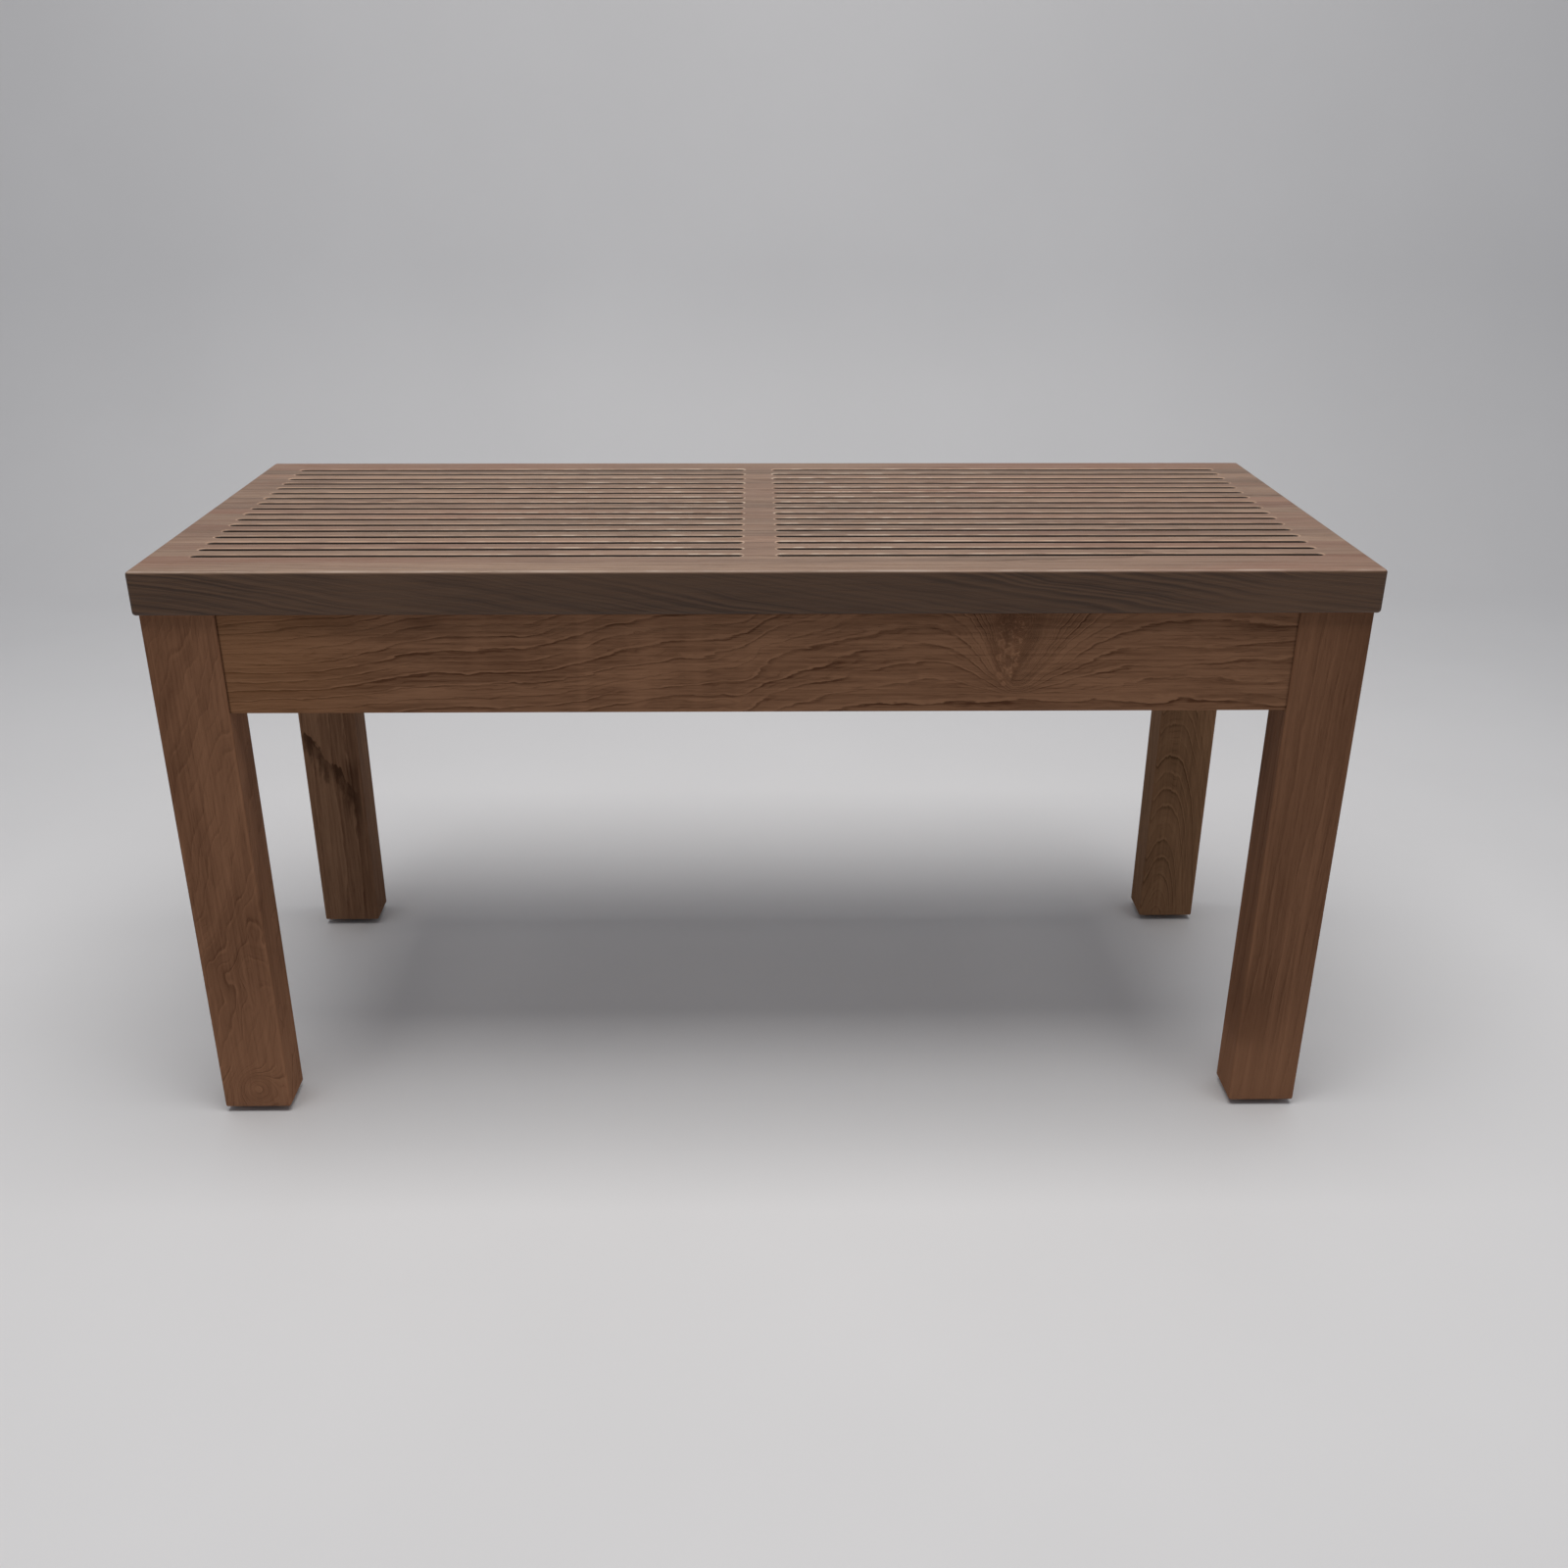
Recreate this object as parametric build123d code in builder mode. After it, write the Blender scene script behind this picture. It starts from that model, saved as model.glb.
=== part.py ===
"""Backless teak bench with a slotted, edge-laminated seat on a mortised frame and levelling glides.

Millimetres, +Z up. X runs along the bench, the front faces -Y, and the origin is on the floor
under the middle of the seat.
"""
from build123d import *
import os

os.makedirs("parts", exist_ok=True)

# ---------------------------------------------------------------- driving sizes
length = 900.0  # seat, end to end
depth = 400.0  # seat, front to back
height = 457.0  # floor to the top of the seat

# Seat: bars glued edge to edge, then slotted along the glue lines
seat_thickness = 32.0
seat_edge_round = 2.5  # long and end arrises, above and below
seat_corner_round = 3.0  # upright corners
slat_count = 17
front_bar_width = 26.5
rear_bar_width = 33.5
slot_width = 6.4
slot_rim_round = 1.6
end_margin = 33.0  # end of the seat to the nearest slot
centre_band = 26.5  # uncut wood between the two fields of slots

# Legs
leg_width = 54.0  # along X
leg_depth = 42.0  # along Y
seat_overhang_end = 3.0
seat_overhang_front = 5.0
leg_edge_round = 2.0
leg_foot_round = 1.6

# Aprons, set a little behind the legs' faces
apron_height = 76.0
apron_thickness = 22.0
apron_setback = 2.0
apron_edge_round = 1.6

# Mortise and tenon joints
tenon_thickness = 10.0
tenon_shoulder = 10.0  # above and below each tenon
long_tenon_length = 28.0
end_tenon_length = 20.0
tenon_clearance = 0.1  # each side of the tenon
tenon_end_gap = 1.0  # glue space past the tenon's end

# Centre rail under the uncut band, housed in both long aprons
rail_width = 25.0
rail_height = 42.0
rail_housing_depth = 6.0
rail_clearance = 0.1
rail_edge_round = 1.6

# Wood screws
screw_radius = 2.0
screw_head_radius = 4.0
screw_head_height = 2.0
screw_point_height = 4.0
screw_clearance = 0.05
clip_screw_length = 18.0
rail_screw_length = 45.0
rail_screw_bite = 20.0  # how far the rail's screws reach into the seat
rail_screw_slats = (2, 6, 9, 12, 16)

# Two-disc clips that hold the seat to the end aprons
clip_radius = 10.0
clip_spacing = 17.0  # centre to centre of the two discs
clip_thickness = 2.8
clip_seat_in_apron = 9.0  # apron's inner face to the centre of the clip's outer disc
clip_clearance = 0.3
clip_slats = (4, 8, 11, 15)

# Levelling glides
glide_radius = 11.0
glide_height = 5.0
glide_edge_round = 1.2
stem_radius = 4.0
stem_rise = 28.0  # stem above the glide
stem_head_radius = 7.0
stem_head_height = 1.5
stem_chamfer = 0.8
stem_clearance = 0.05
insert_radius = 6.0
insert_length = 18.0
insert_clearance = 0.05
insert_lead_in = 0.6
bore_headroom = 6.0  # empty bore over the stem

# ---------------------------------------------------------------- worked-out sizes
seat_bottom = height - seat_thickness
slat_width = (depth - front_bar_width - rear_bar_width) / slat_count
slot_length = (length - centre_band) / 2 - end_margin
slot_x = (centre_band + slot_length) / 2

leg_height = seat_bottom - glide_height
leg_x = length / 2 - seat_overhang_end - leg_width / 2
leg_y = depth / 2 - seat_overhang_front - leg_depth / 2
long_span = 2 * leg_x - leg_width
end_span = 2 * leg_y - leg_depth

apron_middle = seat_bottom - apron_height / 2
tenon_height = apron_height - 2 * tenon_shoulder
long_apron_y = leg_y + leg_depth / 2 - apron_setback - apron_thickness / 2
end_apron_x = leg_x + leg_width / 2 - apron_setback - apron_thickness / 2
long_apron_inner_y = long_apron_y - apron_thickness / 2
end_apron_inner_x = end_apron_x - apron_thickness / 2

rail_bottom = seat_bottom - rail_height
rail_length = 2 * (long_apron_inner_y + rail_housing_depth)
screw_bore_radius = screw_radius + screw_clearance
clip_outer_x = end_apron_inner_x + clip_seat_in_apron
clip_inner_x = clip_outer_x - clip_spacing
clip_bottom = seat_bottom - clip_thickness

sides = {"front": -1, "rear": 1}
ends = {"left": -1, "right": 1}


def slat_edge_y(count):
    """Y of the glue line behind the given number of slats."""
    return -depth / 2 + front_bar_width + count * slat_width


def slat_middle_y(number):
    """Y of the middle of slat number 1, 2, 3 and so on, counted from the front."""
    return slat_edge_y(number) - slat_width / 2


rail_screw_places = [(0, slat_middle_y(number)) for number in rail_screw_slats]
clip_places = [(end, slat_middle_y(number)) for end in ends.values() for number in clip_slats]
glide_places = [(end * leg_x, side * leg_y) for end in ends.values() for side in sides.values()]


def save(piece, name):
    """Label one finished piece and write it as its own file."""
    piece.label = name
    export_step(piece, f"parts/{name}.step")


# ---------------------------------------------------------------- screws
def build_screw(screw_length):
    """A countersunk wood screw, head face at Z = 0 and point towards -Z."""
    with BuildPart() as screw:
        with BuildSketch(Plane.XZ):
            with BuildLine():
                Polyline(
                    (0, 0),
                    (screw_head_radius, 0),
                    (screw_radius, -screw_head_height),
                    (screw_radius, screw_point_height - screw_length),
                    (0, -screw_length),
                    close=True,
                )
            make_face()
        revolve(axis=Axis.Z)
    return screw.part


# ---------------------------------------------------------------- seat
# The whole seat is made first: slots, rims and outer arrises run across the glue lines.
with BuildPart() as seat:
    with BuildSketch(Plane.XY.offset(seat_bottom)):
        RectangleRounded(length, depth, seat_corner_round)
    extrude(amount=seat_thickness)
    fillet(seat.faces().sort_by(Axis.Z)[-1].edges(), seat_edge_round)
    fillet(seat.faces().sort_by(Axis.Z)[0].edges(), seat_edge_round)
    with BuildSketch(Plane.XY.offset(height)):
        for number in range(1, slat_count + 1):
            with Locations((-slot_x, slat_edge_y(number)), (slot_x, slat_edge_y(number))):
                SlotOverall(slot_length, slot_width)
    extrude(amount=-seat_thickness, mode=Mode.SUBTRACT)
    slot_rims = seat.faces().sort_by(Axis.Z)[-1].inner_wires().edges()
    fillet(slot_rims, slot_rim_round)
    # Bores for the screws that come up from the rail and from the clips
    with Locations([(x, y, seat_bottom) for x, y in rail_screw_places]):
        Cylinder(
            screw_bore_radius,
            rail_screw_bite + screw_clearance,
            align=(Align.CENTER, Align.CENTER, Align.MIN),
            mode=Mode.SUBTRACT,
        )
    with Locations([(end * clip_inner_x, y, seat_bottom) for end, y in clip_places]):
        Cylinder(
            screw_bore_radius,
            clip_screw_length - clip_thickness + screw_clearance,
            align=(Align.CENTER, Align.CENTER, Align.MIN),
            mode=Mode.SUBTRACT,
        )

seat_bars = [("front_bar", -depth / 2, slat_edge_y(0))]
for number in range(1, slat_count + 1):
    seat_bars.append((f"slat_{number:02d}", slat_edge_y(number - 1), slat_edge_y(number)))
seat_bars.append(("rear_bar", slat_edge_y(slat_count), depth / 2))

for name, front_y, rear_y in seat_bars:
    with BuildPart() as seat_bar:
        add(seat.part)
        with Locations((0, (front_y + rear_y) / 2, seat_bottom + seat_thickness / 2)):
            Box(length, rear_y - front_y, seat_thickness, mode=Mode.INTERSECT)
    save(seat_bar.part, name)


# ---------------------------------------------------------------- legs
def build_leg(side, end):
    """A leg with its two mortises and the stepped bore for its glide."""
    x = end * leg_x
    y = side * leg_y
    with BuildPart() as leg:
        with BuildSketch(Plane.XY.offset(glide_height)):
            with Locations((x, y)):
                RectangleRounded(leg_width, leg_depth, leg_edge_round)
        extrude(amount=leg_height)
        fillet(leg.faces().sort_by(Axis.Z)[0].edges(), leg_foot_round)
        # Mortise for the long apron, in the face that looks along the bench
        long_mortise_depth = long_tenon_length + tenon_end_gap
        with Locations((x - end * (leg_width - long_mortise_depth) / 2, side * long_apron_y, apron_middle)):
            Box(
                long_mortise_depth,
                tenon_thickness + 2 * tenon_clearance,
                tenon_height + 2 * tenon_clearance,
                mode=Mode.SUBTRACT,
            )
        # Mortise for the end apron, in the face that looks across the bench
        end_mortise_depth = end_tenon_length + tenon_end_gap
        with Locations((end * end_apron_x, y - side * (leg_depth - end_mortise_depth) / 2, apron_middle)):
            Box(
                tenon_thickness + 2 * tenon_clearance,
                end_mortise_depth,
                tenon_height + 2 * tenon_clearance,
                mode=Mode.SUBTRACT,
            )
        # Bore for the threaded insert, then a narrower one for the stem
        with Locations((x, y, glide_height)):
            Cylinder(
                insert_radius + insert_clearance,
                insert_length + insert_clearance,
                align=(Align.CENTER, Align.CENTER, Align.MIN),
                mode=Mode.SUBTRACT,
            )
            Cylinder(
                stem_radius + insert_clearance,
                stem_rise + bore_headroom,
                align=(Align.CENTER, Align.CENTER, Align.MIN),
                mode=Mode.SUBTRACT,
            )
    return leg.part


for side_name, side in sides.items():
    for end_name, end in ends.items():
        save(build_leg(side, end), f"leg_{side_name}_{end_name}")


# ---------------------------------------------------------------- aprons
def build_long_apron(side):
    """The front or rear apron: tenons at both ends, and a housing for the centre rail."""
    with BuildPart() as apron:
        with BuildSketch(Plane.YZ.offset(-long_span / 2)) as section:
            with Locations((side * long_apron_y, apron_middle)):
                Rectangle(apron_thickness, apron_height)
            fillet(section.vertices().group_by(Axis.Y)[0], apron_edge_round)
        extrude(amount=long_span)
        with Locations((0, side * long_apron_y, apron_middle)):
            Box(long_span + 2 * long_tenon_length, tenon_thickness, tenon_height)
        with Locations((0, side * (long_apron_inner_y + rail_housing_depth / 2), seat_bottom)):
            Box(
                rail_width + 2 * rail_clearance,
                rail_housing_depth,
                rail_height + rail_clearance,
                align=(Align.CENTER, Align.CENTER, Align.MAX),
                mode=Mode.SUBTRACT,
            )
    return apron.part


def build_end_apron(end):
    """The left or right apron: tenons at both ends, and pockets in its top edge for the clips."""
    own_clips_y = [y for clip_end, y in clip_places if clip_end == end]
    pocket_radius = clip_radius + clip_clearance
    with BuildPart() as apron:
        with BuildSketch(Plane.XZ.offset(-end_span / 2)) as section:
            with Locations((end * end_apron_x, apron_middle)):
                Rectangle(apron_thickness, apron_height)
            fillet(section.vertices().group_by(Axis.Y)[0], apron_edge_round)
        extrude(amount=end_span)
        with Locations((end * end_apron_x, 0, apron_middle)):
            Box(tenon_thickness, end_span + 2 * end_tenon_length, tenon_height)
        # A round-ended pocket, open towards the inside of the bench
        with BuildSketch(Plane.XY.offset(seat_bottom)):
            with Locations([(end * clip_outer_x, y) for y in own_clips_y]):
                Circle(pocket_radius)
            with Locations([(end * (clip_outer_x - clip_radius), y) for y in own_clips_y]):
                Rectangle(2 * clip_radius, 2 * pocket_radius)
        extrude(amount=-clip_thickness, mode=Mode.SUBTRACT)
        with Locations([(end * clip_outer_x, y, seat_bottom) for y in own_clips_y]):
            Cylinder(
                screw_bore_radius,
                clip_screw_length + screw_clearance,
                align=(Align.CENTER, Align.CENTER, Align.MAX),
                mode=Mode.SUBTRACT,
            )
    return apron.part


for side_name, side in sides.items():
    save(build_long_apron(side), f"apron_{side_name}")
for end_name, end in ends.items():
    save(build_end_apron(end), f"apron_{end_name}")

# ---------------------------------------------------------------- centre rail
with BuildPart() as centre_rail:
    with BuildSketch(Plane.XZ.offset(-rail_length / 2)) as rail_section:
        with Locations((0, seat_bottom - rail_height / 2)):
            Rectangle(rail_width, rail_height)
        fillet(rail_section.vertices().group_by(Axis.Y)[0], rail_edge_round)
    extrude(amount=rail_length)
    # Each screw's head is sunk up a counterbore, so that one length of screw does for any rail
    with Locations([(x, y, seat_bottom) for x, y in rail_screw_places]):
        Cylinder(
            screw_bore_radius,
            rail_height,
            align=(Align.CENTER, Align.CENTER, Align.MAX),
            mode=Mode.SUBTRACT,
        )
    with Locations([(x, y, rail_bottom) for x, y in rail_screw_places]):
        Cylinder(
            screw_head_radius + screw_clearance,
            rail_height - (rail_screw_length - rail_screw_bite),
            align=(Align.CENTER, Align.CENTER, Align.MIN),
            mode=Mode.SUBTRACT,
        )
        # The cone that the head bears on
    with Locations([(x, y, seat_bottom + rail_screw_bite - rail_screw_length) for x, y in rail_screw_places]):
        Cone(
            screw_head_radius + screw_clearance,
            screw_radius + screw_clearance,
            screw_head_height,
            align=(Align.CENTER, Align.CENTER, Align.MIN),
            mode=Mode.SUBTRACT,
        )
save(centre_rail.part, "centre_rail")

rail_screw = build_screw(rail_screw_length)
rail_screw_head_z = seat_bottom + rail_screw_bite - rail_screw_length
with BuildPart() as rail_screws:
    with Locations([Location((x, y, rail_screw_head_z), (180, 0, 0)) for x, y in rail_screw_places]):
        add(rail_screw)
save(rail_screws.part, "rail_screws")

# ---------------------------------------------------------------- seat clips and their screws
with BuildPart() as top_clips:
    with BuildSketch(Plane.XY.offset(clip_bottom)):
        for end, y in clip_places:
            with Locations((end * clip_outer_x, y), (end * clip_inner_x, y)):
                Circle(clip_radius)
    extrude(amount=clip_thickness)
    # Outer holes are countersunk from above, inner holes from below
    with Locations([(end * clip_outer_x, y, seat_bottom) for end, y in clip_places]):
        CounterSinkHole(screw_bore_radius, screw_head_radius + screw_clearance, clip_thickness, 90)
    with Locations([Location((end * clip_inner_x, y, clip_bottom), (180, 0, 0)) for end, y in clip_places]):
        CounterSinkHole(screw_bore_radius, screw_head_radius + screw_clearance, clip_thickness, 90)
save(top_clips.part, "top_clips")

clip_screw = build_screw(clip_screw_length)
with BuildPart() as clip_screws:
    with Locations([(end * clip_outer_x, y, seat_bottom) for end, y in clip_places]):
        add(clip_screw)
    with Locations([Location((end * clip_inner_x, y, clip_bottom), (180, 0, 0)) for end, y in clip_places]):
        add(clip_screw)
save(clip_screws.part, "clip_screws")

# ---------------------------------------------------------------- levelling glides
with BuildPart() as leg_inserts:
    with Locations([(x, y, glide_height) for x, y in glide_places]):
        Cylinder(insert_radius, insert_length, align=(Align.CENTER, Align.CENTER, Align.MIN))
    with Locations([(x, y, glide_height) for x, y in glide_places]):
        Cylinder(
            stem_radius + stem_clearance,
            insert_length,
            align=(Align.CENTER, Align.CENTER, Align.MIN),
            mode=Mode.SUBTRACT,
        )
    mouths = leg_inserts.edges().filter_by(GeomType.CIRCLE).group_by(Axis.Z)[0]
    chamfer(mouths.filter_by(lambda mouth: mouth.radius < insert_radius), insert_lead_in)
save(leg_inserts.part, "leg_inserts")


def build_glide_pad(x, y):
    """The round pad that stands on the floor, with a recess for the stem's head."""
    with BuildPart() as pad:
        with Locations((x, y, 0)):
            Cylinder(glide_radius, glide_height, align=(Align.CENTER, Align.CENTER, Align.MIN))
        fillet(pad.faces().sort_by(Axis.Z)[0].edges(), glide_edge_round)
        with Locations((x, y, glide_height)):
            Cylinder(
                stem_head_radius + stem_clearance,
                stem_head_height,
                align=(Align.CENTER, Align.CENTER, Align.MAX),
                mode=Mode.SUBTRACT,
            )
    return pad.part


def build_glide_stem(x, y):
    """The threaded stem, with the flat head that carries the pad."""
    with BuildPart() as stem:
        with Locations((x, y, glide_height)):
            Cylinder(stem_head_radius, stem_head_height, align=(Align.CENTER, Align.CENTER, Align.MAX))
            Cylinder(stem_radius, stem_rise, align=(Align.CENTER, Align.CENTER, Align.MIN))
        chamfer(stem.faces().sort_by(Axis.Z)[-1].edges(), stem_chamfer)
    return stem.part


for side_name, side in sides.items():
    for end_name, end in ends.items():
        save(build_glide_pad(end * leg_x, side * leg_y), f"glide_pad_{side_name}_{end_name}")
        save(build_glide_stem(end * leg_x, side * leg_y), f"glide_stem_{side_name}_{end_name}")
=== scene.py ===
# %% [markdown]
# # A backless teak bench
# This lesson dresses a finished frame: a slotted seat glued up from narrow teak bars, four square
# legs, deep aprons and round screw-in glides. The wooden pieces already have their true shapes, so
# the work here is the wood itself, the metal and plastic fittings, the light and the camera.

# %% Load the frame
import functools
import math

import bpy
from mathutils import Matrix, Vector


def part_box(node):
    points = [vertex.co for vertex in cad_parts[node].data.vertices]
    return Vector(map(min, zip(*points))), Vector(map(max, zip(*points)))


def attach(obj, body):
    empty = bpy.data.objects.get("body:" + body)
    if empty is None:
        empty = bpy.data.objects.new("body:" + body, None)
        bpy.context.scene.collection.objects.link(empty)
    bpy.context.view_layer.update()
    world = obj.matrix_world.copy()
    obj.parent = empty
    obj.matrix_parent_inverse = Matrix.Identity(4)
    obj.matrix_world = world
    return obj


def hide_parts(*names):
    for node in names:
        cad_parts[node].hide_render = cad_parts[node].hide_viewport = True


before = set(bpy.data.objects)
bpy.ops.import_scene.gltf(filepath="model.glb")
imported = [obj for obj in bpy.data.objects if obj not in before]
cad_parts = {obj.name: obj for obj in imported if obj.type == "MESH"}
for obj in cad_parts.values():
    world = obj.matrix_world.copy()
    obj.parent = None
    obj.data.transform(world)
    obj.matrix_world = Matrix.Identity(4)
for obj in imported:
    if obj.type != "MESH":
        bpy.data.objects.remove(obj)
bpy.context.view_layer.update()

# %% [markdown]
# ## Small helpers for shader nodes
# Every finish below is a net of nodes. Writing each node in full is long, so three helpers do it:
# one feeds a socket with a number or with another socket, one adds a node, one adds a Math node.

# %% Helpers for nodes
def feed(tree, socket, value):
    """Put a number, a colour or another node's output into a socket."""
    if isinstance(value, bpy.types.NodeSocket):
        tree.links.new(value, socket)
    else:
        socket.default_value = value


def add_node(tree, kind, feeds=None, **settings):
    """Add one node; feeds is keyed by input name or number, settings are the node's own fields."""
    made = tree.nodes.new(kind)
    for key, value in settings.items():
        setattr(made, key, value)
    for key, value in (feeds or {}).items():
        feed(tree, made.inputs[key], value)
    return made


def calc(tree, operation, *values, clamp=False):
    """A Math node on up to three numbers or sockets; returns its output."""
    return add_node(tree, "ShaderNodeMath", dict(enumerate(values)), operation=operation,
                    use_clamp=clamp).outputs[0]


def ramp_between(tree, value, low, high, to_low=0.0, to_high=1.0, smooth=True):
    """Map value from low..high onto to_low..to_high and hold it there outside."""
    kind = "SMOOTHSTEP" if smooth else "LINEAR"
    feeds = {0: value, 1: low, 2: high, 3: to_low, 4: to_high}
    return add_node(tree, "ShaderNodeMapRange", feeds, interpolation_type=kind, clamp=True).outputs[0]


def stretched_noise(tree, where, stretch, detail=2.0, roughness=0.5, distortion=0.0):
    """Noise whose cells are drawn out along the board; stretch is cells per metre on each axis."""
    scaled = add_node(tree, "ShaderNodeVectorMath", {0: where, 1: stretch}, operation="MULTIPLY").outputs[0]
    feeds = {"Vector": scaled, "Scale": 1.0, "Detail": detail, "Roughness": roughness, "Distortion": distortion}
    return add_node(tree, "ShaderNodeTexNoise", feeds)


print("node helpers ready")

# %% [markdown]
# ## How teak is built up
# A board is cut out of rings. Each ring starts with a row of large pores, which shows as a thin
# dark line, and grows denser towards its end. Seen along the board the rings are long lines, and
# across its end they are arcs. So the rings are made in space, as a distance from the pith, and
# every face of the board then shows the right cut by itself. Two node groups hold this: the first
# gives the distance from the pith with a slow wander, the second turns a distance into colour,
# roughness and relief. All of them work in board coordinates: along, across and through, in metres.

# %% Node group: distance from the pith
rings = bpy.data.node_groups.new("rings_round_pith", "ShaderNodeTree")
for socket_name, kind in (("Board", "NodeSocketVector"), ("Pith", "NodeSocketVector"), ("Lean", "NodeSocketVector"),
                          ("Wander", "NodeSocketFloat")):
    rings.interface.new_socket(socket_name, in_out="INPUT", socket_type=kind)
rings.interface.new_socket("Distance", in_out="OUTPUT", socket_type="NodeSocketFloat")
given = rings.nodes.new("NodeGroupInput").outputs
board, pith, lean, wander = (given[n] for n in ("Board", "Pith", "Lean", "Wander"))
along = add_node(rings, "ShaderNodeSeparateXYZ", {0: board}).outputs[0]
slow = stretched_noise(rings, board, (2.6, 9.0, 9.0), detail=3.0, roughness=0.45).outputs["Color"]
swing = add_node(rings, "ShaderNodeVectorMath", {0: slow, 1: (0.5, 0.5, 0.5)}, operation="SUBTRACT").outputs[0]
swing = add_node(rings, "ShaderNodeVectorMath", {0: swing, "Scale": wander}, operation="SCALE").outputs[0]
drift = add_node(rings, "ShaderNodeVectorMath", {0: lean, "Scale": along}, operation="SCALE").outputs[0]
place = add_node(rings, "ShaderNodeVectorMath", {0: board, 1: pith}, operation="SUBTRACT").outputs[0]
place = add_node(rings, "ShaderNodeVectorMath", {0: place, 1: swing}, operation="ADD").outputs[0]
place = add_node(rings, "ShaderNodeVectorMath", {0: place, 1: drift}, operation="SUBTRACT").outputs[0]
flat = add_node(rings, "ShaderNodeVectorMath", {0: place, 1: (0.0, 1.0, 1.0)}, operation="MULTIPLY").outputs[0]
reach = add_node(rings, "ShaderNodeVectorMath", {0: flat}, operation="LENGTH").outputs["Value"]
rings.links.new(reach, rings.nodes.new("NodeGroupOutput").inputs["Distance"])
print("group", rings.name, len(rings.nodes), "nodes")

# %% Node group: teak from a distance
teak = bpy.data.node_groups.new("teak_surface", "ShaderNodeTree")
for socket_name, kind in (("Board", "NodeSocketVector"), ("Distance", "NodeSocketFloat"),
                          ("Ring width", "NodeSocketFloat"), ("Light", "NodeSocketColor"),
                          ("Dark", "NodeSocketColor"), ("Line", "NodeSocketFloat"), ("Fibre", "NodeSocketFloat")):
    teak.interface.new_socket(socket_name, in_out="INPUT", socket_type=kind)
for socket_name, kind in (("Colour", "NodeSocketColor"), ("Roughness", "NodeSocketFloat"),
                          ("Height", "NodeSocketFloat")):
    teak.interface.new_socket(socket_name, in_out="OUTPUT", socket_type=kind)
given = teak.nodes.new("NodeGroupInput").outputs
board, distance, ring_width, line = given["Board"], given["Distance"], given["Ring width"], given["Line"]
ragged = stretched_noise(teak, board, (16.0, 110.0, 110.0), detail=4.0, roughness=0.6).outputs[0]
frayed = stretched_noise(teak, board, (60.0, 260.0, 260.0), detail=2.0).outputs[0]
ring_count = calc(teak, "ADD", calc(teak, "DIVIDE", distance, ring_width), calc(teak, "MULTIPLY", ragged, 0.7))
ring_count = calc(teak, "ADD", ring_count, calc(teak, "MULTIPLY", frayed, 0.16))
within = calc(teak, "FRACT", ring_count)
ring_tone = add_node(teak, "ShaderNodeTexNoise", {"W": ring_count, "Scale": 0.55, "Detail": 2.0},
                     noise_dimensions="1D").outputs[0]
broken = stretched_noise(teak, board, (24.0, 90.0, 90.0), detail=3.0).outputs[0]
dark_row = calc(teak, "MULTIPLY", ramp_between(teak, within, 0.74, 0.95), ramp_between(teak, within, 1.0, 0.96))
# A pale row beside each dark line: paler wood plus a painted highlight of the raised grain beside the line.
pale_row_and_highlight = calc(teak, "MULTIPLY", ramp_between(teak, within, 0.22, 0.04), ramp_between(teak, within, 0.0, 0.02))
minor = calc(teak, "FRACT", calc(teak, "ADD", calc(teak, "MULTIPLY", ring_count, 2.6),
                                 calc(teak, "MULTIPLY", broken, 1.1)))
minor_row = calc(teak, "MULTIPLY", ramp_between(teak, minor, 0.6, 0.95), ramp_between(teak, minor, 1.0, 0.96))
strength = calc(teak, "MULTIPLY", line, ramp_between(teak, calc(teak, "MULTIPLY", broken, ring_tone), 0.16, 0.34,
                                                     0.1, 1.3))
fibre = stretched_noise(teak, board, (13.0, 430.0, 430.0), detail=4.0, roughness=0.62).outputs[0]
fine = stretched_noise(teak, board, (55.0, 1500.0, 1500.0), detail=2.0, roughness=0.6).outputs[0]
pores = ramp_between(teak, fine, 0.57, 0.72)
mottle = stretched_noise(teak, board, (5.0, 26.0, 26.0), detail=3.0, roughness=0.55).outputs[0]
shares = ((dark_row, calc(teak, "MULTIPLY", strength, 0.6)), (pale_row_and_highlight, calc(teak, "MULTIPLY", strength, -0.62)),
          (minor_row, calc(teak, "MULTIPLY", line, ramp_between(teak, ragged, 0.4, 0.65, 0.0, 0.45))),
          (calc(teak, "SUBTRACT", ring_tone, 0.5), 0.7),
          (calc(teak, "SUBTRACT", fibre, 0.5), given["Fibre"]), (calc(teak, "SUBTRACT", mottle, 0.5), 0.9),
          (pores, 0.3))
darkness = 0.3
for amount, share in shares:
    darkness = calc(teak, "ADD", darkness, calc(teak, "MULTIPLY", amount, share))
darkness = calc(teak, "ADD", darkness, 0.0, clamp=True)
colour = add_node(teak, "ShaderNodeMix", {0: darkness, 6: given["Light"], 7: given["Dark"]}, data_type="RGBA")
rough = calc(teak, "ADD", 0.40, calc(teak, "MULTIPLY", fibre, 0.2))
rough = calc(teak, "ADD", rough, calc(teak, "MULTIPLY", dark_row, 0.1))
height = calc(teak, "MULTIPLY", calc(teak, "MULTIPLY", within, strength), 0.8)
for amount, share in ((dark_row, -0.5), (pores, -0.25), (fibre, 0.5)):
    height = calc(teak, "ADD", height, calc(teak, "MULTIPLY", amount, share))
out = teak.nodes.new("NodeGroupOutput").inputs
for socket_name, value in (("Colour", colour.outputs[2]), ("Roughness", rough), ("Height", height)):
    teak.links.new(value, out[socket_name])
print("group", teak.name, len(teak.nodes), "nodes")

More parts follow.
